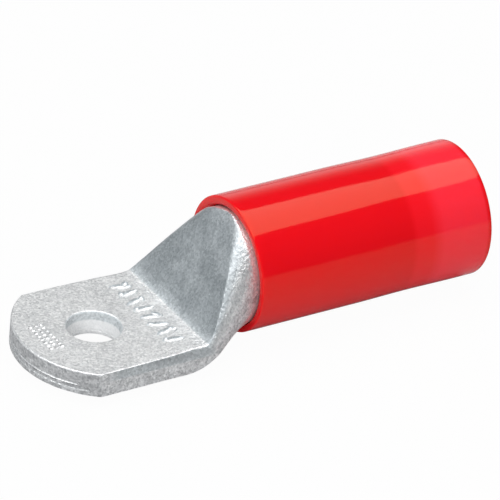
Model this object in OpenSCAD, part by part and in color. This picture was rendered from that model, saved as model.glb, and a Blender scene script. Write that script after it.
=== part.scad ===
// Insulated cable lug: a tinned copper tube pressed flat into a drilled palm, with a plastic sleeve over it.
// Origin: centre of the bolt hole, on the palm's underside. +X runs from the palm to the cable end, +Z is up.
// All lengths are millimetres. The lug and its sleeve are mirror images of themselves across the plane Y = 0.

/* [Palm] */
// Bolt hole diameter: 8.4 clears an M8 bolt
bolt_hole_d = 8.4; // [4.3:0.1:13]
// Width of the flat palm
palm_width = 24.8; // [18:0.1:34]
// Thickness of the pressed palm, which is two tube walls
palm_thickness = 3.9; // [2.5:0.1:6]
// Radius of the sheared round tip
tip_radius = 14.9; // [13:0.1:22]
// Distance from the bolt hole's centre to the tip arc's centre, toward the barrel
tip_centre_x = 2.7; // [0:0.1:6]
// Rounding of the hole's upper edge, left by the punch
hole_edge_round = 0.35; // [0.1:0.05:0.6]
// Depth of the seam line between the two pressed walls, along the sheared tip
seam_depth = 0.15; // [0.05:0.05:0.3]
// Height of the groove that makes the seam line
seam_height = 0.24; // [0.1:0.02:0.5]
// Share of the palm's thickness that lies below the seam
seam_share = 0.42; // [0.3:0.01:0.7]
// Height of the palm's upright sides, below their rounded shoulders
side_band = 2.3; // [1.2:0.1:3]
// How far the shoulders draw in the flat top at the tip
shoulder_at_tip = 0.1; // [0.05:0.01:0.3]
// How far they draw it in at the foot of the slope
shoulder_at_neck = 0.85; // [0.4:0.05:1.5]

/* [Neck] */
// Where the slope rises from the palm, measured from the bolt hole
slope_start_x = 12.8; // [10:0.1:16]
// Length of the neck from the foot of the slope to the full round tube
neck_length = 12.4; // [11:0.1:18]
// How quickly the slope rises from its foot: lower is steeper at the foot
slope_power = 0.75; // [0.6:0.01:1]
// How far before the slope the palm's lower edges begin to lift into the folds
fold_lead = 4.8; // [2:0.1:6]
// How slowly the folds begin to lift: higher stays low for longer
fold_power = 1.3; // [1:0.05:1.6]
// How far before the full round tube the folds reach the tube's middle height
fold_lag = 0.7; // [0.3:0.1:2]
// How much flatter than an ellipse the flanks are pressed beside the crest
flank_flattening = 0.14; // [0:0.01:0.4]

/* [Barrel] */
// Outer diameter of the tube
tube_d = 18; // [16:0.1:21]
// Bore that takes the stripped conductor
wire_bore_d = 13.5; // [11:0.1:15]
// Height of the tube's lowest line above the palm's underside
tube_lift = 0.06; // [0.06:0.01:1]
// Distance from the bolt hole to the open end of the tube
tube_end_x = 50; // [44:0.5:60]
// Where the full round bore stops, measured from the bolt hole
bore_floor_x = 27.5; // [26:0.1:32]

/* [Sleeve] */
// Wall of the sleeve where it grips the tube
sleeve_wall = 1.62; // [1.1:0.02:3.5]
// Front end of the sleeve, measured from the bolt hole
sleeve_front_x = 22.8; // [21:0.1:25]
// Length of the sleeve
sleeve_length = 41; // [38:0.1:60]
// Gap between the tube and the sleeve pressed over it
sleeve_fit = 0.02; // [0.01:0.01:0.1]
// Extra radius of the sleeve's front mouth, over the flare of the neck
mouth_flare = 0.55; // [0.3:0.05:0.7]
// Wall of the sleeve's cable entry
entry_wall = 1; // [0.7:0.05:1.3]
// Length of the funnel that leads the strands from the entry into the tube
funnel_length = 4.8; // [2:0.1:6]
// How far the funnel's narrow end clears the tube's bore
funnel_clearance = 0.2; // [0.1:0.05:0.4]
// Depth of the shrink mark around the sleeve, over the funnel
shrink_mark = 0.05; // [0:0.01:0.1]
// Rounding of the outer edge at the sleeve's front
front_round = 0.4; // [0.15:0.05:0.6]
// Rounding of the sleeve's other edges
rim_round = 0.22; // [0.1:0.02:0.3]

/* [Hidden] */
// Number of sides of the turned surfaces
turned_sides = 96;
// Steps along the palm, along the neck, and along the hollow
palm_steps = 8;
neck_steps = 24;
hollow_lengthwise_steps = 14;
// Gap between the palm's last section and the foot of the slope
foot_gap = 0.4;
// Steps around each quarter of a section, for the outside and for the hollow
outer_steps = 14;
hollow_steps = 8;
// Number of straight pieces in a small rounded edge
round_steps = 4;
// A little extra length for cutting shapes
over = 1;
// Where the neck meets the tube it is larger by join_step, runs on by neck_overlap and then dives inside
join_step = 0.04;
neck_overlap = 0.3;
neck_dive = 0.3;
// How far below the contact face the pressed body hangs before the flat die trims it
belly_drop = 0.12;
// How far above the slope, and below the flanks' crest, the pressed body's own flat top lies
crease_step = 0.04;
crest_step = 0.01;
// Smallest height of the upright side where it fades out
least_side = 0.05;
// The hollow meets the round bore in the same way, larger by hollow_step before it dives inside
hollow_step = 0.06;
hollow_overlap = 0.3;
hollow_dive = 0.3;
// Length of the flare in the sleeve's mouth
mouth_length = 3.5;

palm_half = palm_width / 2;
tube_r = tube_d / 2;
bore_r = wire_bore_d / 2;
tube_wall = tube_r - bore_r;
palm_wall = palm_thickness / 2;
bolt_hole_r = bolt_hole_d / 2;
axis_z = tube_r + tube_lift;
tube_top_z = axis_z + tube_r;
round_x = slope_start_x + neck_length;
fold_start_x = slope_start_x - fold_lead;
press_end_x = round_x - fold_lag;
tip_x = tip_centre_x - tip_radius;
tip_corner_x = tip_centre_x - sqrt(tip_radius * tip_radius - palm_half * palm_half);
tip_corner_angle = asin(palm_half / tip_radius);
flattening_start_x = slope_start_x + neck_length * 0.43;

sleeve_bore_r = tube_r + sleeve_fit;
sleeve_r = sleeve_bore_r + sleeve_wall;
mouth_r = sleeve_bore_r + mouth_flare;
entry_r = sleeve_r - entry_wall;
sleeve_end_x = sleeve_front_x + sleeve_length;
stop_x = tube_end_x + sleeve_fit;
funnel_end_x = stop_x + funnel_length;
funnel_r = bore_r + funnel_clearance;

// Smooth step from 0 to 1 while x goes from a to b; a power below 1 makes it rise sooner
function clamped(u) = min(1, max(0, u));
function eased(u) = u * u * (3 - 2 * u);
function rise(x, a, b, power = 1) = eased(pow(clamped((x - a) / (b - a)), power));

// The laws that turn the pressed palm's section into the round tube's section along X
function slope_z(x) =
    palm_thickness + (tube_top_z - palm_thickness) * rise(x, slope_start_x, round_x, slope_power);
function half_width(x) = palm_half + (tube_r - palm_half) * rise(x, slope_start_x, press_end_x);
function fold_z(x) = axis_z * rise(x, fold_start_x, press_end_x, fold_power);
function side_height(x) =
    max(least_side, side_band * (1 - clamped((x - fold_start_x) / (press_end_x - fold_start_x))));
function roundness(x) =
    let (u = clamped((x - flattening_start_x) / (round_x - flattening_start_x)))
    2 - flank_flattening * pow(sin(180 * u), 2);
function wall(x) = palm_wall + (tube_wall - palm_wall) * rise(x, slope_start_x, round_x);

// Height the shoulders' arc would reach if it went on past the flat top that it meets at the given inset
function arc_top(inset) = side_band + (palm_thickness - side_band) / sqrt(1 - pow(1 - inset / palm_half, 2));
function shoulder_inset(x) =
    let (u = clamped((x - tip_corner_x) / (slope_start_x - tip_corner_x)))
    shoulder_at_tip + (shoulder_at_neck - shoulder_at_tip) * u * u;
function flank_z(x) =
    let (start = arc_top(shoulder_inset(x)))
    start + (tube_top_z - start) * rise(x, slope_start_x, round_x, slope_power);

// One side of a section, down its flank and then in along its belly, as [y, z] points.
// The flank is an arc from full_top down to side_top; flat_z is the height where a flat top cuts it off.
function flank_points(half_w, side_top, full_top, flat_z, power, steps) =
    let (share = min(1, (flat_z - side_top) / (full_top - side_top)))
    let (first = asin(pow(share, power / 2)))
    [for (i = [0 : steps])
        let (a = first * pow(1 - i / steps, 1.2))
        [half_w * pow(cos(a), 2 / power), side_top + (full_top - side_top) * pow(sin(a), 2 / power)]];
function belly_points(half_w, side_bottom, bottom, steps) =
    [for (i = [1 : steps])
        [half_w * cos(90 * i / steps), side_bottom - (side_bottom - bottom) * sin(90 * i / steps)]];
function mirrored(side) = concat(side, [for (i = [len(side) - 2 : -1 : 0]) [-side[i][0], side[i][1]]]);

// Outside of the pressed tube at x, before the dies trim its top and its underside
function outer_section(x, swell = join_step) =
    let (eased_in = rise(x, slope_start_x, round_x))
    let (bottom = (tube_lift - swell) * eased_in - belly_drop * (1 - eased_in))
    let (side_bottom = fold_z(x) - belly_drop * (1 - eased_in))
    let (side_top = fold_z(x) + side_height(x))
    let (full_top = flank_z(x) + swell * eased_in)
    let (flat_z = min(slope_z(x) + crease_step, full_top - crest_step))
    let (half_w = half_width(x) + swell * eased_in)
    mirrored(concat(
        flank_points(half_w, side_top, full_top, flat_z, roundness(x), outer_steps),
        [[half_w, side_bottom]],
        belly_points(half_w, side_bottom, bottom, outer_steps)));

// Hollow of the neck at x, one wall inside the trimmed outside
function hollow_section(x, swell = hollow_step) =
    let (eased_in = rise(x, slope_start_x, round_x))
    let (inset = wall(x) - swell * eased_in)
    let (bottom = inset + tube_lift * eased_in)
    let (full_top = flank_z(x) - inset)
    let (flat_z = min(slope_z(x) - inset, full_top - least_side))
    let (middle = (bottom + flat_z) / 2)
    let (half_w = half_width(x) - inset)
    mirrored(concat(
        flank_points(half_w, middle, full_top, flat_z, roundness(x), hollow_steps),
        belly_points(half_w, middle, bottom, hollow_steps)));

// Places along X where the sections stand, closer together at the foot of the slope
function spread(from, to, steps, power = 1) =
    [for (i = [0 : steps]) from + (to - from) * pow(i / steps, power)];
palm_xs = spread(tip_x - over, slope_start_x - foot_gap, palm_steps, 0.8);
neck_xs = spread(slope_start_x, round_x, neck_steps, 1.15);
hollow_start_x = slope_start_x + neck_length * 0.065;
hollow_xs = spread(hollow_start_x, round_x, hollow_lengthwise_steps, 1.1);

// Quarter circle used on small edges: centre, radius and the angle it starts from
function quarter(cx, cy, r, from) =
    [for (i = [0 : round_steps]) let (a = from + 90 * i / round_steps) [cx + r * cos(a), cy + r * sin(a)]];
function backwards(points) = [for (i = [len(points) - 1 : -1 : 0]) points[i]];

// Closed skin over a row of sections that all have the same number of points
module skin(xs, sections) {
    count = len(sections[0]);
    last = len(sections) - 1;
    points = [for (k = [0 : last]) for (p = sections[k]) [xs[k], p[0], p[1]]];
    sides = [
        for (k = [0 : last - 1])
            for (j = [0 : count - 1])
                let (a = k * count + j)
                let (b = k * count + (j + 1) % count)
                for (face = [[a, b + count, a + count], [a, b, b + count]])
                    face
    ];
    front = [for (j = [count - 1 : -1 : 0]) j];
    back = [for (j = [0 : count - 1]) last * count + j];
    polyhedron(points = points, faces = concat(sides, [front, back]), convexity = 6);
}

// Turned shape about the barrel's axis, from a profile of [x, radius] points
module turned(profile) {
    translate([0, 0, axis_z])
        rotate([0, 90, 0])
            rotate([0, 0, 180])
                rotate_extrude($fn = turned_sides)
                    polygon([for (p = profile) [p[1], p[0]]]);
}

// Straight cylinder about the barrel's axis
module axial_cylinder(x_from, x_to, r) {
    translate([x_from, 0, axis_z])
        rotate([0, 90, 0])
            cylinder(h = x_to - x_from, r = r, $fn = turned_sides);
}

// Tube as pressed between the dies: palm, shoulders, folds and neck in one skin
module pressed_body() {
    xs = concat(palm_xs, neck_xs, [round_x + neck_overlap]);
    end_x = round_x + 2 * neck_overlap;
    skin(
        concat(xs, [end_x]),
        concat([for (x = xs) outer_section(x)], [outer_section(end_x, -neck_dive)]));
}

// Space left between the flat lower die and the upper die with its slope
module die_gap() {
    top = [for (x = neck_xs) [x, slope_z(x) + 2 * join_step * rise(x, slope_start_x, round_x)]];
    translate([0, palm_width, 0])
        rotate([90, 0, 0])
            linear_extrude(height = 2 * palm_width)
                polygon(concat(
                    [[tip_x - 2 * over, 0], [tip_x - 2 * over, palm_thickness]],
                    top,
                    [[round_x + over, tube_top_z + over], [round_x + over, 0]]));
}

// Waste sheared off around the tip
module tip_waste() {
    difference() {
        translate([tip_x - 2 * over, -palm_width, -over])
            cube([tip_centre_x - tip_x + 2 * over, 2 * palm_width, palm_thickness + 2 * over]);
        translate([tip_centre_x, 0, -2 * over])
            cylinder(h = palm_thickness + 4 * over, r = tip_radius, $fn = 2 * turned_sides);
    }
}

// Line left between the two walls where the tip is sheared
module seam_groove() {
    reach = tip_corner_angle - 4;
    translate([tip_centre_x, 0, palm_thickness * seam_share])
        rotate([0, 0, 180 - reach])
            rotate_extrude(angle = 2 * reach, $fn = turned_sides)
                polygon([
                    [tip_radius + over, -seam_height / 2 - over * seam_height / seam_depth / 2],
                    [tip_radius + over, seam_height / 2 + over * seam_height / seam_depth / 2],
                    [tip_radius - seam_depth, 0]
                ]);
}

// Bolt hole with its upper edge rounded by the punch
module bolt_hole() {
    translate([0, 0, -over])
        cylinder(h = palm_thickness + 2 * over, r = bolt_hole_r, $fn = turned_sides);
    rim_r = bolt_hole_r + hole_edge_round;
    rotate_extrude($fn = turned_sides)
        polygon(concat(
            quarter(rim_r, palm_thickness - hole_edge_round, hole_edge_round, 90),
            [
                [bolt_hole_r - over, palm_thickness - hole_edge_round],
                [bolt_hole_r - over, palm_thickness + over],
                [rim_r, palm_thickness + over]
            ]));
}

// Hollow that narrows from the round bore to a slit between the pressed walls
module neck_hollow() {
    xs = concat(hollow_xs, [bore_floor_x + hollow_overlap]);
    end_x = bore_floor_x + 2 * hollow_overlap;
    skin(
        concat(xs, [end_x]),
        concat([for (x = xs) hollow_section(x)], [hollow_section(end_x, -hollow_dive)]));
}

// Tinned copper tube, pressed flat and drilled at one end
module lug() {
    color([0.76, 0.77, 0.78])
        difference() {
            union() {
                intersection() {
                    pressed_body();
                    die_gap();
                }
                axial_cylinder(round_x + neck_overlap / 2, tube_end_x, tube_r);
            }
            tip_waste();
            bolt_hole();
            seam_groove();
            neck_hollow();
            axial_cylinder(bore_floor_x, tube_end_x + over, bore_r);
        }
}

// Plastic sleeve: flared mouth, snug bore over the tube, funnel and thin-walled cable entry
module insulating_sleeve() {
    mark_x = funnel_end_x - funnel_length / 2;
    outer_front = quarter(sleeve_front_x + front_round, sleeve_r - front_round, front_round, 90);
    outer_back = quarter(sleeve_end_x - rim_round, sleeve_r - rim_round, rim_round, 0);
    inner_back = quarter(sleeve_end_x - rim_round, entry_r + rim_round, rim_round, 270);
    inner_front = quarter(sleeve_front_x + rim_round, mouth_r + rim_round, rim_round, 180);
    color([0.86, 0.08, 0.1])
        turned(concat(
            backwards(outer_front),
            [
                [mark_x - funnel_length, sleeve_r],
                [mark_x, sleeve_r - shrink_mark],
                [mark_x + funnel_length, sleeve_r]
            ],
            backwards(outer_back),
            backwards(inner_back),
            [
                [funnel_end_x, entry_r],
                [stop_x, funnel_r],
                [stop_x, sleeve_bore_r],
                [sleeve_front_x + mouth_length, sleeve_bore_r]
            ],
            backwards(inner_front)));
}

lug();
insulating_sleeve();
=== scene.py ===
import math
import random

import bmesh
import bpy
from mathutils import Matrix, Vector, noise


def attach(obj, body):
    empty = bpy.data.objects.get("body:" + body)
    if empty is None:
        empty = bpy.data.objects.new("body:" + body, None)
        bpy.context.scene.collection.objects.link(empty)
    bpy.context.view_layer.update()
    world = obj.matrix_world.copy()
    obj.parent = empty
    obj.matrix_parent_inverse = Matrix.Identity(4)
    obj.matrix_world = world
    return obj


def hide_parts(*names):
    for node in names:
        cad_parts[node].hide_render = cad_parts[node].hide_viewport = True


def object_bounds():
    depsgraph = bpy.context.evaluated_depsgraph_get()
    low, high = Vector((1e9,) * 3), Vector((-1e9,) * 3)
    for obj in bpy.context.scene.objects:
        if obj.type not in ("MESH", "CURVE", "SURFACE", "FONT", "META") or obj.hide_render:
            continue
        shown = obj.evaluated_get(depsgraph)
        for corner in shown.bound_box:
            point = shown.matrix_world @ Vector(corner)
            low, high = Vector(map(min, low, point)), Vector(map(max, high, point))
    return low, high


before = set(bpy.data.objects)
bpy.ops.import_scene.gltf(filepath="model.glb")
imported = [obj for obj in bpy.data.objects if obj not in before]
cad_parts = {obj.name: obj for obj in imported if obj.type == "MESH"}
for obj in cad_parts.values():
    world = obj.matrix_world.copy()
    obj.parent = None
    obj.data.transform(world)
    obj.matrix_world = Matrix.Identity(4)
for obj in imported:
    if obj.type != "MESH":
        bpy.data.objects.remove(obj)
cadLow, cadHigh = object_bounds()
mm = 0.001
print("frame loaded")


def clamped(u):
    return min(1.0, max(0.0, u))


def eased(u):
    return u * u * (3 - 2 * u)


def rise(x, start, end, power=1.0):
    # smooth step from 0 to 1 between start and end; a power below 1 rises sooner
    return eased(clamped((x - start) / (end - start)) ** power)


def pieceFrom(bm, name, material, sharpAngle=38):
    # turns a bmesh in millimetres into a smooth piece in metres, with edges kept sharp past an angle
    bmesh.ops.scale(bm, vec=(mm, mm, mm), verts=bm.verts)
    limit = math.radians(sharpAngle)
    for face in bm.faces:
        face.smooth = True
    for edge in bm.edges:
        edge.smooth = len(edge.link_faces) == 2 and edge.calc_face_angle(0) < limit
    mesh = bpy.data.meshes.new(name)
    bm.to_mesh(mesh)
    bm.free()
    mesh.materials.append(material)
    piece = bpy.data.objects.new(name, mesh)
    bpy.context.scene.collection.objects.link(piece)
    return piece


def meshOf(bm, name):
    # a throwaway object for cutting, in millimetres
    mesh = bpy.data.meshes.new(name)
    bm.to_mesh(mesh)
    bm.free()
    tool = bpy.data.objects.new(name, mesh)
    bpy.context.scene.collection.objects.link(tool)
    return tool


def cutBy(target, cutters):
    # cuts each cutter out of the target and returns the result as a new bmesh
    for cutter in cutters:
        cut = target.modifiers.new(cutter.name, "BOOLEAN")
        cut.operation = "DIFFERENCE"
        cut.solver = "EXACT"
        cut.object = cutter
    graph = bpy.context.evaluated_depsgraph_get()
    bm = bmesh.new()
    bm.from_mesh(target.evaluated_get(graph).to_mesh())
    for thing in [target, *cutters]:
        bpy.data.objects.remove(thing)
    return bm


def mergeSlivers(bm, reach):
    # a cut returns its points in no fixed order and with some slivers, so the points are put in order,
    # which gives the same mesh each run, and those closer than the reach are merged
    lean = Vector((1.0, 0.6180339, 0.2360679))
    for vert in bm.verts:
        vert.co = [round(part, 4) for part in vert.co]
    bm.verts.sort(key=lambda vert: vert.co.dot(lean))
    bm.edges.sort(key=lambda edge: (edge.verts[0].co + edge.verts[1].co).dot(lean))
    bm.faces.sort(key=lambda face: face.calc_center_median().dot(lean))
    bmesh.ops.remove_doubles(bm, verts=bm.verts, dist=reach)
    bmesh.ops.dissolve_degenerate(bm, edges=bm.edges, dist=reach)


def turnedShape(profile, steps, axisPoint, axis):
    # spins a profile of (along, radius) points once round an axis
    bm = bmesh.new()
    along = Vector(axis)
    side = along.orthogonal().normalized()
    verts = [bm.verts.new(Vector(axisPoint) + along * a + side * r) for a, r in profile]
    edges = [bm.edges.new(pair) for pair in zip(verts, verts[1:])]
    bmesh.ops.spin(bm, geom=verts + edges, cent=axisPoint, axis=axis, steps=steps,
                   angle=math.tau, use_merge=True)
    bmesh.ops.remove_doubles(bm, verts=bm.verts, dist=1e-5)
    bmesh.ops.recalc_face_normals(bm, faces=bm.faces)
    return bm


def arcPoints(cx, cy, r, start, end, steps):
    # points along an arc, with angles in degrees
    angles = [math.radians(start + (end - start) * i / steps) for i in range(steps + 1)]
    return [(cx + r * math.cos(a), cy + r * math.sin(a)) for a in angles]


def newMaterial(name):
    material = bpy.data.materials.new(name)
    material.use_nodes = True
    nodes = material.node_tree.nodes
    links = material.node_tree.links
    shader = nodes["Principled BSDF"]
    place = nodes.new("ShaderNodeTexCoord")
    return material, nodes, links, shader, place


def noiseNode(nodes, links, place, scale, detail, roughness):
    made = nodes.new("ShaderNodeTexNoise")
    made.inputs["Scale"].default_value = scale
    made.inputs["Detail"].default_value = detail
    made.inputs["Roughness"].default_value = roughness
    links.new(place.outputs["Object"], made.inputs["Vector"])
    return made


def rampNode(nodes, links, source, stops):
    ramp = nodes.new("ShaderNodeValToRGB")
    elements = ramp.color_ramp.elements
    while len(elements) < len(stops):
        elements.new(0.5)
    for element, (position, colour) in zip(elements, stops):
        element.position = position
        element.color = (*colour, 1)
    links.new(source, ramp.inputs["Fac"])
    return ramp


def spanNode(nodes, links, source, low, high, toLow=0.0, toHigh=1.0, smooth=False):
    span = nodes.new("ShaderNodeMapRange")
    if smooth:
        span.interpolation_type = "SMOOTHSTEP"
    for name, value in zip(("From Min", "From Max", "To Min", "To Max"), (low, high, toLow, toHigh)):
        span.inputs[name].default_value = value
    links.new(source, span.inputs["Value"])
    return span.outputs["Result"]


def mathNode(nodes, links, operation, first, second):
    # a math node whose inputs are sockets or numbers
    made = nodes.new("ShaderNodeMath")
    made.operation = operation
    for socket, value in zip(made.inputs, (first, second)):
        if isinstance(value, (int, float)):
            socket.default_value = value
        else:
            links.new(value, socket)
    return made.outputs[0]


def mixColour(nodes, links, factor, first, second):
    made = nodes.new("ShaderNodeMix")
    made.data_type = "RGBA"
    links.new(factor, made.inputs["Factor"])
    for name, value in (("A", first), ("B", second)):
        if isinstance(value, tuple):
            made.inputs[name].default_value = (*value, 1)
        else:
            links.new(value, made.inputs[name])
    return made.outputs["Result"]


def bumpNode(nodes, links, height, distance, strength=1.0):
    bump = nodes.new("ShaderNodeBump")
    bump.inputs["Distance"].default_value = distance
    if isinstance(strength, float):
        bump.inputs["Strength"].default_value = strength
    else:
        links.new(strength, bump.inputs["Strength"])
    links.new(height, bump.inputs["Height"])
    return bump


tinLook = {
    "grainPerMetre": 2400, "cellPerMetre": 3400, "cloudPerMetre": 260, "clodPerMetre": 1100,
    "neckRoughness": 0.33, "palmRoughness": 0.64, "sideRoughness": 0.60, "slopeRoughness": 0.48,
    "shoulderRoughness": 0.56, "cloudRoughness": 0.05, "cloudSpan": (0.35, 0.65),
    "grainDepth": 0.00014, "pressedGrain": 0.55, "darkAt": 0.2, "lightAt": 0.8,
    "neckMetal": 0.72, "palmMetal": 1.0, "slopeMetal": 1.0, "shoulderMetal": 0.82, "holeMetal": 0.0,
}

# for each zone its dark tone, its light tone and how much of the pattern is cells
tinTones = {
    "neck": ((0.66, 0.665, 0.67), (0.95, 0.95, 0.945), 0.6),
    # the palm's tones are darker than the neck's: painted shade on the top, which faces the softbox
    "palm": ((0.56, 0.565, 0.57), (0.83, 0.83, 0.825), 0.55),
    "side": ((0.38, 0.385, 0.395), (0.96, 0.96, 0.965), 0.35),
    # the tip's darker tones are painted shade on the face turned to -X, which the softbox's -X end lights
    "tip": ((0.30, 0.305, 0.315), (0.76, 0.76, 0.765), 0.35),
    # the hole wall's paler tones are painted light, standing in for the white below the hole that it would
    # reflect
    "hole": ((0.74, 0.745, 0.75), (0.90, 0.90, 0.90), 0.3),
    # the pressed tones are darker and bluish: painted shade and a painted reflection of the dark, bluish side
    # of the room that the slope and the shoulder mirror
    "pressed": ((0.44, 0.47, 0.485), (0.74, 0.77, 0.785), 0.45),
}

# where each zone begins and is complete, as a part of the surface's direction or in millimetres
tinZones = {
    "slopeFacing": (-0.25, -0.5), "slopeX": (-0.5, 0.5), "palmFacing": (0.93, 0.985), "palmX": (-0.4, -1.3),
    "uprightFacing": (0.35, 0.15), "shoulderBandZ": (-0.1, 0.25), "shoulderBandX": (-5.2, -2.0),
    "shoulderFacing": (0.9, 0.7), "shoulderX": (2.0, 0.0), "tipFacing": (-0.2, -0.45), "tipX": (0.0, -3.0),
    "holeReach": (0.3, 0.1), "holeFacing": (0.9, 0.6),
}


def tinnedCopper(sizes):
    material, nodes, links, shader, place = newMaterial("tinned copper")
    look = tinLook
    grain = noiseNode(nodes, links, place, look["grainPerMetre"], 2, 0.6)
    clods = noiseNode(nodes, links, place, look["clodPerMetre"], 2, 0.6)
    cloud = noiseNode(nodes, links, place, look["cloudPerMetre"], 3, 0.6)
    cells = nodes.new("ShaderNodeTexVoronoi")
    cells.inputs["Scale"].default_value = look["cellPerMetre"]
    links.new(place.outputs["Object"], cells.inputs["Vector"])
    cellSplit = nodes.new("ShaderNodeSeparateColor")
    links.new(cells.outputs["Color"], cellSplit.inputs["Color"])
    cell = cellSplit.outputs["Red"]

    def math2(operation, first, second):
        return mathNode(nodes, links, operation, first, second)

    def facingStep(source, zone):
        low, high = tinZones[zone]
        return spanNode(nodes, links, source, low, high, smooth=True)

    def placeStep(source, zone, origin=0.0):
        low, high = tinZones[zone]
        return spanNode(nodes, links, source, origin + low * mm, origin + high * mm, smooth=True)

    # zones by place and by the way the surface faces
    placeSplit = nodes.new("ShaderNodeSeparateXYZ")
    links.new(place.outputs["Object"], placeSplit.inputs["Vector"])
    x, y, z = placeSplit.outputs
    facing = nodes.new("ShaderNodeNewGeometry")
    facingSplit = nodes.new("ShaderNodeSeparateXYZ")
    links.new(facing.outputs["Normal"], facingSplit.inputs["Vector"])
    facingX, facingZ = facingSplit.outputs["X"], facingSplit.outputs["Z"]
    bendX, band, holeR = sizes["dieStartX"] * mm, sizes["sideBand"] * mm, sizes["holeRadius"] * mm
    slope = math2("MULTIPLY", facingStep(facingX, "slopeFacing"), placeStep(x, "slopeX", bendX))
    # the palm top, found by facing up, gets the darker palm tones as painted shade
    palm = math2("MULTIPLY", facingStep(facingZ, "palmFacing"), placeStep(x, "palmX", bendX))
    upright = facingStep(math2("ABSOLUTE", facingZ, 0), "uprightFacing")
    # a band at the height of the side's top; the rounded shoulder in it is painted darker, as shade
    shoulderBand = math2("MULTIPLY", placeStep(z, "shoulderBandZ", band), placeStep(x, "shoulderBandX"))
    rounded = math2("MULTIPLY", shoulderBand, facingStep(facingZ, "shoulderFacing"))
    shoulder = math2("MULTIPLY", rounded, placeStep(x, "shoulderX", bendX))
    side = math2("MULTIPLY", upright, math2("SUBTRACT", 1, shoulder))
    # the tip face, turned to -X, gets the darker tip tones as painted shade
    sheared = math2("MULTIPLY", facingStep(facingX, "tipFacing"), placeStep(x, "tipX"))
    tip = math2("MULTIPLY", side, sheared)
    # the hole wall gets the paler hole tones as painted light
    fromHole = math2("SQRT", math2("ADD", math2("MULTIPLY", x, x), math2("MULTIPLY", y, y)), 0)
    holeWall = math2("MULTIPLY", placeStep(fromHole, "holeReach", holeR), facingStep(facingZ, "holeFacing"))
    # the slope and the shoulder get the darker, bluish pressed tones as painted shade and painted reflection,
    # and a finer grain of their own
    pressed = math2("MAXIMUM", slope, shoulder)

    def toned(zone, pattern):
        # the tones of one zone, from the cells and one softer pattern
        dark, light, cellShare = tinTones[zone]
        total = math2("ADD", math2("MULTIPLY", cell, cellShare), math2("MULTIPLY", pattern, 1 - cellShare))
        stops = [(look["darkAt"], dark), (look["lightAt"], light)]
        return rampNode(nodes, links, total, stops).outputs["Color"]

    wide, fine = cloud.outputs["Fac"], clods.outputs["Fac"]
    colour = toned("neck", wide)
    # the side layer is the tin's own grain; the tip, palm, hole and pressed layers paint shade and light into
    # the colour
    layers = [(side, "side", fine), (tip, "tip", fine), (palm, "palm", wide), (holeWall, "hole", wide),
              (pressed, "pressed", wide)]
    for mask, zone, pattern in layers:
        colour = mixColour(nodes, links, mask, colour, toned(zone, pattern))
    links.new(colour, shader.inputs["Base Color"])

    def blended(first, goals):
        value = first
        for zone, goal in goals:
            value = math2("ADD", value, math2("MULTIPLY", zone, goal - first))
        return value

    rough = blended(look["neckRoughness"], [
        (palm, look["palmRoughness"]), (side, look["sideRoughness"]),
        (slope, look["slopeRoughness"]), (shoulder, look["shoulderRoughness"])])
    patch = look["cloudRoughness"]
    patches = spanNode(nodes, links, wide, *look["cloudSpan"], -patch, patch)
    links.new(math2("ADD", rough, patches), shader.inputs["Roughness"])
    # dull tin scatters part of the light, and the torn wall of the hole most of it
    metal = blended(look["neckMetal"], [
        (palm, look["palmMetal"]), (slope, look["slopeMetal"]),
        (shoulder, look["shoulderMetal"]), (holeWall, look["holeMetal"])])
    links.new(metal, shader.inputs["Metallic"])
    strength = spanNode(nodes, links, pressed, 0, 1, 1.0, look["pressedGrain"])
    bump = bumpNode(nodes, links, grain.outputs["Fac"], look["grainDepth"], strength)
    links.new(bump.outputs["Normal"], shader.inputs["Normal"])
    return material


redLook = {
    "grip": (0.68, 0.0035, 0.009), "funnel": (0.75, 0.007, 0.015), "entry": (0.81, 0.022, 0.040),
    "rim": (0.66, 0.003, 0.008), "roughness": 0.09, "specular": 0.33, "specularTint": (0.4, 1, 0.55),
    "ripplePerMetre": 70, "rippleDepth": 0.00006,
    "scatter": 0.35, "scatterRadius": (1.0, 0.12, 0.08), "scatterDepth": 0.0014,
    "bandLead": 2.0, "gripEnd": -0.4, "funnelStart": 0.6, "funnelStop": -1.6, "entryStart": 0.5,
    "entryStop": -0.9, "rimStart": -0.35,
}


def redPlastic(sizes):
    material, nodes, links, shader, place = newMaterial("red polyamide")
    look = redLook
    # the plastic is a little translucent, so it is paler where its wall is thin and has nothing behind it;
    # this light through the wall is painted into the colour along X, darker over the metal barrel and paler
    # past it, and the colour darkens again on the end rim
    split = nodes.new("ShaderNodeSeparateXYZ")
    links.new(place.outputs["Object"], split.inputs["Vector"])
    start, end = (sizes["stopX"] - look["bandLead"]) * mm, sizes["endX"] * mm
    along = spanNode(nodes, links, split.outputs["X"], start, end)

    def share(x):
        return (x * mm - start) / (end - start)

    stop, funnelEnd, rim = sizes["stopX"], sizes["funnelEndX"], sizes["endX"]
    colour = rampNode(nodes, links, along, [
        (share(stop + look["gripEnd"]), look["grip"]), (share(stop + look["funnelStart"]), look["funnel"]),
        (share(funnelEnd + look["funnelStop"]), look["funnel"]),
        (share(funnelEnd + look["entryStart"]), look["entry"]),
        (share(rim + look["entryStop"]), look["entry"]), (share(rim + look["rimStart"]), look["rim"])])
    links.new(colour.outputs["Color"], shader.inputs["Base Color"])
    shader.inputs["Roughness"].default_value = look["roughness"]
    shader.inputs["Specular IOR Level"].default_value = look["specular"]
    shader.inputs["Specular Tint"].default_value = (*look["specularTint"], 1)
    shader.inputs["Subsurface Weight"].default_value = look["scatter"]
    shader.inputs["Subsurface Radius"].default_value = look["scatterRadius"]
    shader.inputs["Subsurface Scale"].default_value = look["scatterDepth"]
    ripple = noiseNode(nodes, links, place, look["ripplePerMetre"], 1, 0.4)
    bump = bumpNode(nodes, links, ripple.outputs["Fac"], look["rippleDepth"])
    links.new(bump.outputs["Normal"], shader.inputs["Normal"])
    return material


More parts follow.
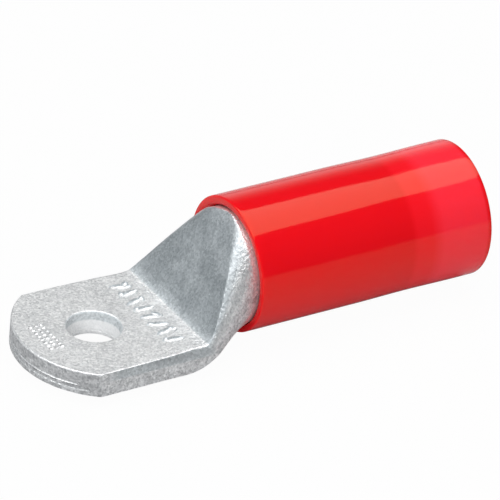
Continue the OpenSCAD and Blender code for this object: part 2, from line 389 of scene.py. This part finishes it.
lugSizes = {
    "palmWidth": 24.8, "palmThickness": 3.9, "tipRadius": 14.9, "tipCentreX": 2.7, "sideBand": 2.3,
    "shoulderAtTip": 0.1, "shoulderAtNeck": 0.85, "slopeStartX": 12.8, "neckLength": 12.4,
    "dieStartX": 12.8, "dieEndX": 26.5, "slopePower": 0.755, "flankStartX": 12.9, "flankEndX": 27.2,
    "flankPower": 0.63, "overTop": 2.0, "bellyFullness": 0.3, "bellyFromX": 17.0, "bellyToX": 26.5,
    "foldLead": 4.8, "foldPower": 1.3, "foldLag": 0.7,
    "bandDrop": 0.12, "leastSide": 0.02, "narrowTop": 1.2,
    "tubeRadius": 9.0, "boreRadius": 6.75, "tubeLift": 0.06, "tubeEndX": 50.0, "boreFloorX": 27.5,
    "endRound": 0.3, "endCorner": 0.1, "tubeRingX": (30, 40),
    "hollowRingX": (24.2, 23, 21.8, 20.6, 19.4, 18.2, 17.2, 16.2), "slitHeight": 0.03,
    "holeRadius": 4.2, "holeEdgeRound": 0.35, "tornDepth": 0.07, "tornZ": (0.5, 0.58, 0.95, 1.05),
    "shearRound": 0.34, "bendRound": 0.4, "crestRound": 0.3, "upperCrestRound": 1.2,
    "crestSpan": (17.5, 21.5), "unevenness": 0.035, "unevenPerMm": 0.45, "sliver": 0.0045,
}

# height as a share of the palm, depth, width and the X that the line ends at
seamLines = ((0.42, 0.16, 0.26, -8.4), (0.21, 0.1, 0.24, -7.0))


class LugLaws:
    # the laws that turn the palm's section into the tube's section along X

    def __init__(self, sizes):
        self.s = s = sizes
        self.palmHalf = s["palmWidth"] / 2
        self.axisZ = s["tubeRadius"] + s["tubeLift"]
        self.topZ = self.axisZ + s["tubeRadius"]
        self.roundX = s["slopeStartX"] + s["neckLength"]
        self.foldStartX = s["slopeStartX"] - s["foldLead"]
        self.pressEndX = self.roundX - s["foldLag"]
        self.tipX = s["tipCentreX"] - s["tipRadius"]
        self.cornerX = s["tipCentreX"] - math.sqrt(s["tipRadius"] ** 2 - self.palmHalf ** 2)

    def easedIn(self, x):
        return rise(x, self.s["slopeStartX"], self.roundX)

    def slopeZ(self, x):
        # the die's corner is rounded, so the slope starts softly
        t, reach, n = self.s["palmThickness"], self.s["bendRound"], 4
        places = [x + reach * i / n for i in range(-n, n + 1)]
        law = self.s["dieStartX"], self.s["dieEndX"], self.s["slopePower"]
        share = sum(rise(place, *law) for place in places) / len(places)
        return min(self.topZ, t + (self.topZ + self.s["overTop"] - t) * share)

    def halfWidth(self, x):
        s = self.s
        return self.palmHalf + (s["tubeRadius"] - self.palmHalf) * rise(x, s["slopeStartX"], self.pressEndX)

    def foldZ(self, x):
        return self.axisZ * rise(x, self.foldStartX, self.pressEndX, self.s["foldPower"])

    def sideHeight(self, x):
        lifted = clamped((x - self.foldStartX) / (self.pressEndX - self.foldStartX))
        return max(self.s["leastSide"], self.s["sideBand"] * (1 - lifted))

    def flankZ(self, x):
        s = self.s
        u = clamped((x - self.cornerX) / (s["slopeStartX"] - self.cornerX))
        inset = s["shoulderAtTip"] + (s["shoulderAtNeck"] - s["shoulderAtTip"]) * u * u
        band = s["sideBand"]
        start = band + (s["palmThickness"] - band) / math.sqrt(1 - (1 - inset / self.palmHalf) ** 2)
        share = rise(x, s["flankStartX"], s["flankEndX"], s["flankPower"])
        return min(self.topZ, start + (self.topZ + s["overTop"] - start) * share)

    def section(self, x):
        # half of the outside at x, as stretches of (y, z) points from the top's middle to the bottom's
        dense = 40
        halfW, foldZ = self.halfWidth(x), self.foldZ(x)
        sideTop = foldZ + self.sideHeight(x)
        fullTop = self.flankZ(x)
        flat = min(self.slopeZ(x), fullTop)
        drop = self.s["bandDrop"] * (1 - self.easedIn(x))
        sideLow, bottom = foldZ - drop, self.s["tubeLift"] * self.easedIn(x) - drop

        def flankAt(a):
            return halfW * math.cos(a), sideTop + (fullTop - sideTop) * math.sin(a)

        first = math.asin(clamped((flat - sideTop) / (fullTop - sideTop)))
        creaseY = flankAt(first)[0]
        if creaseY > self.s["narrowTop"]:
            top = [(creaseY * i / dense, flat) for i in range(dense + 1)]
            lastA = first
        else:
            lastA = math.acos(self.s["narrowTop"] / halfW)
            angles = [math.pi / 2 + (lastA - math.pi / 2) * i / dense for i in range(dense + 1)]
            top = [(y, min(flat, z)) for y, z in map(flankAt, angles)]
        flank = [flankAt(lastA * (1 - i / dense)) for i in range(dense + 1)]
        side = [(halfW, sideTop), (halfW, max(sideLow, 0.0))]
        belly = [(halfW, max(sideLow, 0.0))]
        full = clamped((x - self.s["bellyFromX"]) / (self.s["bellyToX"] - self.s["bellyFromX"]))
        power = 2 + self.s["bellyFullness"] * math.sin(math.pi * full)
        for i in range(1, 2 * dense + 1):
            a = math.pi / 2 * i / (2 * dense)
            y = halfW * max(0.0, math.cos(a)) ** (2 / power)
            z = sideLow - (sideLow - bottom) * math.sin(a) ** (2 / power)
            belly.append((y, max(z, 0.0)))
        return top, flank, side, belly


def lengthsOf(points):
    made = [0.0]
    for a, b in zip(points, points[1:]):
        made.append(made[-1] + math.dist(a, b))
    return made


def walked(points, count, first=0.0, last=1.0):
    # count steps of equal length along a line of points, from one share of its length to another
    lengths = lengthsOf(points)
    made, k = [], 0
    for i in range(count + 1):
        goal = lengths[-1] * (first + (last - first) * i / count)
        while k < len(points) - 2 and lengths[k + 1] < goal:
            k += 1
        span = lengths[k + 1] - lengths[k]
        u = clamped((goal - lengths[k]) / span) if span > 1e-9 else 0.0
        made.append(tuple(p + (q - p) * u for p, q in zip(points[k], points[k + 1])))
    return made


def softened(points, reach):
    # rounds the corners of a line of points: each becomes the mean of its neighbours within reach
    total = lengthsOf(points)[-1]
    count = int(total / 0.08) + 2
    even = walked(points, count)
    most = int(reach / (total / count))
    made = []
    for i in range(count + 1):
        n = min(most, i, count - i)
        near = even[i - n:i + n + 1]
        made.append(tuple(sum(p[k] for p in near) / len(near) for k in (0, 1)))
    return made


ringCounts = {"top": 24, "edge": 18, "flank": 40, "side": 5, "corner": 10, "belly": 18,
              "edgeReach": 1.6, "edgeShare": 0.6, "cornerShare": 0.3}


def ringPoints(laws, x):
    # one closed ring of the outside at x, with the same number of points everywhere
    top, flank, side, belly = laws.section(x)
    n = ringCounts
    topLength, flankLength = lengthsOf(top)[-1], lengthsOf(flank)[-1]
    low, high = laws.s["crestRound"], laws.s["upperCrestRound"]
    upper = softened(top + flank[1:], low + (high - low) * rise(x, *laws.s["crestSpan"]))
    total = topLength + flankLength
    crest = topLength / total
    nearCrest = (topLength - min(n["edgeReach"], n["edgeShare"] * topLength)) / total
    half = walked(upper, n["top"], 0, nearCrest)
    half += walked(upper, n["edge"], nearCrest, crest)[1:]
    half += walked(upper, n["flank"], crest, 1)[1:]
    half += walked(side, n["side"])[1:]
    half += walked(belly, n["corner"], 0, n["cornerShare"])[1:]
    half += walked(belly, n["belly"], n["cornerShare"], 1)[1:]
    ring = half + [(-y, z) for y, z in reversed(half[1:-1])]
    return [Vector((x, y, z)) for y, z in ring]


def addRing(bm, points, last=None):
    # a closed ring of vertices, skinned to the last one
    verts = [bm.verts.new(p) for p in points]
    edges = [bm.edges.new((a, b)) for a, b in zip(verts, verts[1:] + verts[:1])]
    if last:
        bmesh.ops.bridge_loops(bm, edges=last + edges)
    return edges


def lugBody(laws):
    # the pressed outside, the round tube, and back along the bore into the narrowing hollow of the neck
    bm = bmesh.new()
    s = laws.s
    r, bore, end = s["tubeRadius"], s["boreRadius"], s["tubeEndX"]
    spare, neckLead, palmSteps, neckSteps = 1, 1.5, 66, 76
    neckFrom = s["slopeStartX"] - neckLead
    xs = [laws.tipX - spare + (neckFrom - laws.tipX + spare) * i / palmSteps for i in range(palmSteps)]
    xs += [neckFrom + (laws.roundX - neckFrom) * i / neckSteps for i in range(neckSteps + 1)]
    first = last = addRing(bm, ringPoints(laws, xs[0]))
    for x in xs[1:]:
        last = addRing(bm, ringPoints(laws, x), last)

    centre = Vector((0, 0, laws.axisZ))
    outward = [(p - centre - Vector((p.x, 0, 0))).normalized() for p in ringPoints(laws, laws.roundX + 0.01)]
    near, far = s["tubeRingX"]
    soft, corner = s["endRound"], s["endCorner"]
    turns = [(near, r), (far, r), (end - soft, r), (end - corner, r - corner), (end, r - soft),
             (end, bore + soft), (end - corner, bore + corner), (end - soft, bore), (far, bore),
             (s["boreFloorX"], bore), (laws.roundX, bore)]
    for x, radius in turns:
        last = addRing(bm, [centre + Vector((x, 0, 0)) + out * radius for out in outward], last)

    wall = r - bore
    for x in s["hollowRingX"]:
        ring = ringPoints(laws, x)
        high, low = max(p.z for p in ring), min(p.z for p in ring)
        middle, halfHeight = (high + low) / 2, (high - low) / 2
        flatter = max(s["slitHeight"], 1 - wall / halfHeight)
        narrower = 1 - wall / laws.halfWidth(x)
        inner = [Vector((x, p.y * narrower, middle + (p.z - middle) * flatter)) for p in ring]
        last = addRing(bm, inner, last)
    bmesh.ops.edgeloop_fill(bm, edges=first)
    bmesh.ops.edgeloop_fill(bm, edges=last)
    bmesh.ops.recalc_face_normals(bm, faces=bm.faces)
    return bm


markSizes = {
    "rowX": 9.2, "rowFromY": -8.1, "rowStep": 2.3, "strokes": 8, "longStroke": 3.7, "strokeWidth": 1.75,
    "strokeDepth": 0.46, "crossStroke": 1.7, "crossWidth": 1.0, "crossDepth": 0.38, "crossSides": (-1.0, 1.1),
    "dotX": -8.0, "dotY": 0.4, "dotRows": 3, "dotColumns": 8, "dotStep": 0.92, "dotWidth": 0.78,
    "dotDepth": 0.24, "dentLift": 0.4,
}

# ranges for the marks' random places, widths and turns
markRanges = {
    "strokeX": (-0.15, 0.15), "strokeWidth": (0.8, 1.0), "strokeTurn": (-26, 20), "crossX": (-0.2, 0.2),
    "crossY": (0.2, 0.45), "crossTurn": (40, 130), "dotPlace": (-0.04, 0.04), "dotWidth": (0.75, 1.05),
}


def addDent(bm, x, y, topZ, length, width, depth, turn=0.0):
    # a rounded punch, as long and wide as given where it meets the top, and as deep as given below it
    lift = markSizes["dentLift"] * depth
    height = depth + lift
    spread = math.sqrt(1 - (lift / height) ** 2)
    made = bmesh.ops.create_uvsphere(bm, u_segments=20, v_segments=12, radius=1)
    turned = Matrix.Rotation(math.radians(turn), 3, "Z").to_quaternion()
    size = Vector((length / 2 / spread, width / 2 / spread, height))
    placed = Matrix.LocRotScale(Vector((x, y, topZ + lift)), turned, size)
    bmesh.ops.transform(bm, matrix=placed, verts=made["verts"])


def markPunches(topZ):
    # generic strokes by the bend and a patch of dots by the tip, where such lugs carry stamped marks
    strokes, crosses = bmesh.new(), bmesh.new()
    m = markSizes
    wobble = random.Random(4)

    def drawn(name):
        return wobble.uniform(*markRanges[name])

    for i in range(m["strokes"]):
        y = m["rowFromY"] + m["rowStep"] * i
        addDent(strokes, m["rowX"] + drawn("strokeX"), y, topZ, m["longStroke"],
                m["strokeWidth"] * drawn("strokeWidth"), m["strokeDepth"], drawn("strokeTurn"))
        addDent(crosses, m["rowX"] + m["crossSides"][i % 2] + drawn("crossX"), y + drawn("crossY"), topZ,
                m["crossStroke"], m["crossWidth"], m["crossDepth"], drawn("crossTurn"))
    middleRow, middleColumn = (m["dotRows"] - 1) / 2, (m["dotColumns"] - 1) / 2
    for row in range(m["dotRows"]):
        for column in range(m["dotColumns"]):
            addDent(strokes, m["dotX"] + m["dotStep"] * (row - middleRow) + drawn("dotPlace"),
                    m["dotY"] + m["dotStep"] * (column - middleColumn) + drawn("dotPlace"), topZ,
                    m["dotWidth"], m["dotWidth"] * drawn("dotWidth"), m["dotDepth"])
    return [meshOf(strokes, "strokes"), meshOf(crosses, "crosses")]


def tipCutter(laws):
    # everything outside the tip's arc, with the upper edge of the shear left a little rounded
    s = laws.s
    t, edge, below, reach = s["palmThickness"], s["shearRound"], -1, 30.0
    disc = [(below, s["tipRadius"]), (t - edge, s["tipRadius"])]
    disc += arcPoints(t - edge, s["tipRadius"] - edge, edge, 90, 25, 5)[1:]
    profile = [(below, reach), *disc, (t + 2, s["tipRadius"] - 2 * edge), (t + 2, reach), (below, reach)]
    waste = meshOf(turnedShape(profile, 240, (s["tipCentreX"], 0, 0), (0, 0, 1)), "tipWaste")
    return meshOf(cutBy(waste, [blockFrom(s["tipCentreX"], 102)]), "tipCutter")


def blockFrom(lowX, highX):
    block = bmesh.new()
    middle, size = Vector(((lowX + highX) / 2, 0, 0)), Vector((highX - lowX, 90, 60))
    bmesh.ops.create_cube(block, size=1, matrix=Matrix.LocRotScale(middle, None, size))
    return meshOf(block, "block")


def seamCutters(laws):
    # the closed slit between the tube's two pressed walls shows as a fine groove round the sheared tip,
    # with a shorter line from the shear below it
    s = laws.s
    r, outside = s["tipRadius"], 0.3
    rings = []
    for share, deep, wide, endX in seamLines:
        z, half = s["palmThickness"] * share, wide / 2 * (deep + outside) / deep
        profile = [(z - half, r + outside), (z, r - deep), (z + half, r + outside), (z - half, r + outside)]
        ring = meshOf(turnedShape(profile, 240, (s["tipCentreX"], 0, 0), (0, 0, 1)), "seamRing")
        rings.append(meshOf(cutBy(ring, [blockFrom(endX, 90)]), "seamCutter"))
    return rings


def holePunch(sizes):
    # a punched hole: soft upper edge, and two fine steps where the lower wall stands a little further in
    t, edge, r, torn = sizes["palmThickness"], sizes["holeEdgeRound"], sizes["holeRadius"], sizes["tornDepth"]
    radii = r - 2 * torn, r - torn, r - torn, r
    hole = [(-1, 0), (-1, r - 2 * torn), *zip(sizes["tornZ"], radii), (t - edge, r)]
    rounded = arcPoints(t - edge, r + edge, edge, 90, 8, 8)
    hole += [(z, 2 * (r + edge) - outer) for z, outer in rounded][1:]
    hole += [(t + 2, r + edge + 0.1), (t + 2, 0)]
    return meshOf(turnedShape(hole, 128, (0, 0, 0), (0, 0, 1)), "holePunch")


def uneven(bm, depth, perMm):
    # pressed and plated metal is never quite even; the surface only ever moves inwards
    bm.normal_update()
    finer, finerShare, contrast = 2.3, 0.5, 0.6
    shifts = []
    for vert in bm.verts:
        wave = noise.noise(vert.co * perMm) + finerShare * noise.noise(vert.co * perMm * finer)
        shifts.append(vert.normal * depth * clamped(0.5 + contrast * wave))
    for vert, shift in zip(bm.verts, shifts):
        vert.co -= shift


def buildLug(material):
    laws = LugLaws(lugSizes)
    body = meshOf(lugBody(laws), "lugBody")
    cutters = [tipCutter(laws), *seamCutters(laws), holePunch(lugSizes)]
    bm = cutBy(body, cutters + markPunches(lugSizes["palmThickness"]))
    mergeSlivers(bm, lugSizes["sliver"])
    uneven(bm, lugSizes["unevenness"], lugSizes["unevenPerMm"])
    lug = pieceFrom(bm, "tinned_lug", material)
    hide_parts("lug")
    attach(lug, "root")
    print("lug built:", len(lug.data.polygons), "faces")


sleeveSizes = {
    "frontX": 22.8, "endX": 63.8, "radius": 10.64, "bore": 9.02, "mouth": 9.06, "mouthLength": 3.4,
    "mouthStraight": 2.2, "mouthRound": 0.8, "frontRound": 0.25, "rimRound": 0.22, "entry": 9.64,
    "funnelEndX": 54.82, "funnel": 6.95, "stopX": 50.02, "stepAhead": 0.4, "stepBehind": 0.25, "stepIn": 0.06,
    "sinkX": 51.5, "sinkLead": 9.0, "sinkTail": 9.0, "sinkDepth": 0.09, "axisZ": 9.06, "collarGap": 0.05,
}


def sleeveOuter(x):
    # the outside sinks slightly over the thick funnel, as moulded plastic does
    s = sleeveSizes
    reach = s["sinkLead"] if x < s["sinkX"] else s["sinkTail"]
    return s["radius"] - s["sinkDepth"] * (1 - eased(clamped(abs(x - s["sinkX"]) / reach)))


def fitCollar(bm, laws):
    # the sleeve's rounded mouth gives way to the neck where the neck is wider than the tube
    s = sleeveSizes
    outlines = {}
    for vert in bm.verts:
        y, z = vert.co.y, vert.co.z - s["axisZ"]
        radius = math.hypot(y, z)
        share = clamped((radius - s["mouth"]) / s["mouthRound"])
        if vert.co.x > s["frontX"] + s["mouthLength"] - 0.1 or share >= 1:
            continue
        key = round(vert.co.x, 3)
        if key not in outlines:
            outlines[key] = [(math.atan2(p.z - s["axisZ"], p.y), math.hypot(p.y, p.z - s["axisZ"]))
                             for p in ringPoints(laws, vert.co.x)]
        angle = math.atan2(z, y)
        near = min(outlines[key], key=lambda spot: abs(math.remainder(spot[0] - angle, math.tau)))
        push = max(0.0, near[1] + s["collarGap"] - s["mouth"]) * (1 - eased(share))
        vert.co.y, vert.co.z = y * (1 + push / radius), z * (1 + push / radius) + s["axisZ"]


def buildSleeve(material):
    s = sleeveSizes
    front, end, rim, edge = s["frontX"], s["endX"], s["rimRound"], s["frontRound"]
    lip = s["mouthRound"]
    profile = [(front + s["mouthLength"], s["bore"]), (front + s["mouthStraight"], s["mouth"])]
    profile += arcPoints(front + lip, s["mouth"] + lip, lip, 270, 180, 12)
    profile += arcPoints(front + edge, s["radius"] - edge, edge, 180, 90, 8)
    steps = 70
    outer = [front + edge + (end - rim - front - edge) * i / steps for i in range(1, steps + 1)]
    profile += [(x, sleeveOuter(x)) for x in outer]
    profile += arcPoints(end - rim, sleeveOuter(end - rim) - rim, rim, 90, 0, 6)[1:]
    profile += arcPoints(end - rim, s["entry"] + rim, rim, 0, -90, 6)
    profile += [(s["funnelEndX"] + s["stepAhead"], s["entry"]),
                (s["funnelEndX"] - s["stepBehind"], s["entry"] - s["stepIn"]),
                (s["stopX"], s["funnel"]), (s["stopX"], s["bore"]), (front + s["mouthLength"], s["bore"])]
    bm = turnedShape(profile, 192, (0, 0, s["axisZ"]), (1, 0, 0))
    fitCollar(bm, LugLaws(lugSizes))
    sleeve = pieceFrom(bm, "red_sleeve", material)
    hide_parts("insulating_sleeve")
    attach(sleeve, "root")
    print("sleeve built:", len(sleeve.data.polygons), "faces")


stageLook = {
    "floorColour": (0.52, 0.52, 0.52), "floorSize": 4, "floorRoughness": 0.9, "seenGlow": 0.97,
    "backdrop": (0.98, 0.98, 0.98), "brightSide": (0.29, 0.32, 0.34), "darkSide": (0.07, 0.075, 0.08),
    "backWall": (0.85, 0.87, 0.88), "sideSpan": (0.25, 0.6), "wallZ": (0.6, 0.05), "wallY": (0.1, 0.6),
    "wallX": (0.05, 0.3),
}


def lightPathShare(nodes, links, shares):
    # the given share for each named kind of ray, and 0 for all others
    ray = nodes.new("ShaderNodeLightPath")
    total = None
    for name, share in shares.items():
        part = mathNode(nodes, links, "MULTIPLY", ray.outputs[name], share)
        total = mathNode(nodes, links, "MAXIMUM", total, part) if total else part
    return total


def buildStage(floorZ):
    look = stageLook
    bm = bmesh.new()
    bmesh.ops.create_grid(bm, x_segments=1, y_segments=1, size=look["floorSize"])
    bmesh.ops.translate(bm, vec=(0, 0, floorZ), verts=bm.verts)
    mesh = bpy.data.meshes.new("floor")
    bm.to_mesh(mesh)
    bm.free()
    floor = bpy.data.objects.new("floor", mesh)
    bpy.context.scene.collection.objects.link(floor)
    material, nodes, links, shader, _ = newMaterial("white floor")
    shader.inputs["Base Color"].default_value = (*look["floorColour"], 1)
    shader.inputs["Roughness"].default_value = look["floorRoughness"]
    # most of what is seen of the floor is plain white, and the rest keeps the object's shadow
    glow = nodes.new("ShaderNodeEmission")
    blend = nodes.new("ShaderNodeMixShader")
    shares = {"Is Camera Ray": look["seenGlow"], "Is Transmission Ray": look["seenGlow"]}
    links.new(lightPathShare(nodes, links, shares), blend.inputs["Fac"])
    links.new(shader.outputs["BSDF"], blend.inputs[1])
    links.new(glow.outputs["Emission"], blend.inputs[2])
    links.new(blend.outputs["Shader"], nodes["Material Output"].inputs["Surface"])
    mesh.materials.append(material)


def directionTo(azimuth, elevation):
    # azimuth 0 is in front of the object, on -Y, and 90 is on +X
    a, e = math.radians(azimuth), math.radians(elevation)
    return Vector((math.sin(a) * math.cos(e), -math.cos(a) * math.cos(e), math.sin(e)))


cameraView = {"azimuth": -32.133, "elevation": 32.364, "roll": 4.188, "distance": 1.0123, "focal": 6734.4,
              "originU": 92.294, "originV": 348.026, "imageSize": 500}


def buildCamera():
    v = cameraView
    back = directionTo(v["azimuth"], v["elevation"])
    a, roll = math.radians(v["azimuth"]), math.radians(v["roll"])
    level = Vector((math.cos(a), math.sin(a), 0))
    up = back.cross(level)
    right = level * math.cos(roll) + up * math.sin(roll)
    upward = back.cross(right)
    # turned so that the picture's centre is straight ahead and the lens needs no shift
    half = v["imageSize"] / 2
    aim = -back * v["focal"] + right * (half - v["originU"]) + upward * (v["originV"] - half)
    turn = (-back).rotation_difference(aim.normalized()).to_matrix()
    data = bpy.data.cameras.new("camera")
    data.sensor_width = 36
    data.lens = v["focal"] * data.sensor_width / v["imageSize"]
    data.clip_start = 0.01
    data.clip_end = 20
    camera = bpy.data.objects.new("camera", data)
    facing = Matrix((turn @ right, turn @ upward, turn @ back)).transposed().to_4x4()
    camera.matrix_world = Matrix.Translation(back * v["distance"]) @ facing
    bpy.context.scene.collection.objects.link(camera)
    bpy.context.scene.camera = camera


lampList = [
    {"name": "softbox above", "shape": "ELLIPSE", "azimuth": 180, "elevation": 85.1, "distance": 0.6,
     "size": (1.32, 0.774), "shift": -0.12, "power": 6.07},
    {"name": "front fill", "azimuth": -35, "elevation": 20, "distance": 0.9, "size": (0.9, 0.6), "power": 5.8,
     "inGloss": False},
]


def addLamp(centre, name, azimuth, elevation, distance, size, power,
            shift=0.0, shape="RECTANGLE", inGloss=True):
    data = bpy.data.lights.new(name, "AREA")
    data.shape = shape
    data.size = size[0]
    data.size_y = size[1]
    data.energy = power
    lamp = bpy.data.objects.new(name, data)
    away = directionTo(azimuth, elevation)
    lamp.location = centre + away * distance + Vector((shift, 0, 0))
    lamp.rotation_mode = "QUATERNION"
    lamp.rotation_quaternion = away.to_track_quat("Z", "Y")
    lamp.visible_glossy = inGloss
    bpy.context.scene.collection.objects.link(lamp)


def buildLights(centre):
    for lamp in lampList:
        addLamp(centre, **lamp)
    world = bpy.data.worlds.new("studio")
    world.use_nodes = True
    nodes, links, look = world.node_tree.nodes, world.node_tree.links, stageLook
    # a room with a paler side by the palm and a pale wall low down at the back
    place = nodes.new("ShaderNodeTexCoord")
    split = nodes.new("ShaderNodeSeparateXYZ")
    links.new(place.outputs["Generated"], split.inputs["Vector"])
    across = spanNode(nodes, links, split.outputs["X"], -1, 1)
    brightEnd, darkStart = look["sideSpan"]
    ramp = rampNode(nodes, links, across, [(brightEnd, look["brightSide"]), (darkStart, look["darkSide"])])
    low = spanNode(nodes, links, split.outputs["Z"], *look["wallZ"], smooth=True)
    behind = spanNode(nodes, links, split.outputs["Y"], *look["wallY"], smooth=True)
    beyond = spanNode(nodes, links, split.outputs["X"], *look["wallX"], smooth=True)
    wall = mathNode(nodes, links, "MULTIPLY", mathNode(nodes, links, "MULTIPLY", low, behind), beyond)
    room = mixColour(nodes, links, wall, ramp.outputs["Color"], look["backWall"])
    seen = lightPathShare(nodes, links, {"Is Camera Ray": 1.0, "Is Transmission Ray": 1.0})
    colour = mixColour(nodes, links, seen, room, look["backdrop"])
    links.new(colour, nodes["Background"].inputs["Color"])
    bpy.context.scene.world = world


bpy.context.scene.view_settings.view_transform = "Standard"
buildLug(tinnedCopper(lugSizes))
buildSleeve(redPlastic(sleeveSizes))
buildStage(cadLow.z)
buildLights((cadLow + cadHigh) / 2)
buildCamera()
print("stage, lights and camera placed")
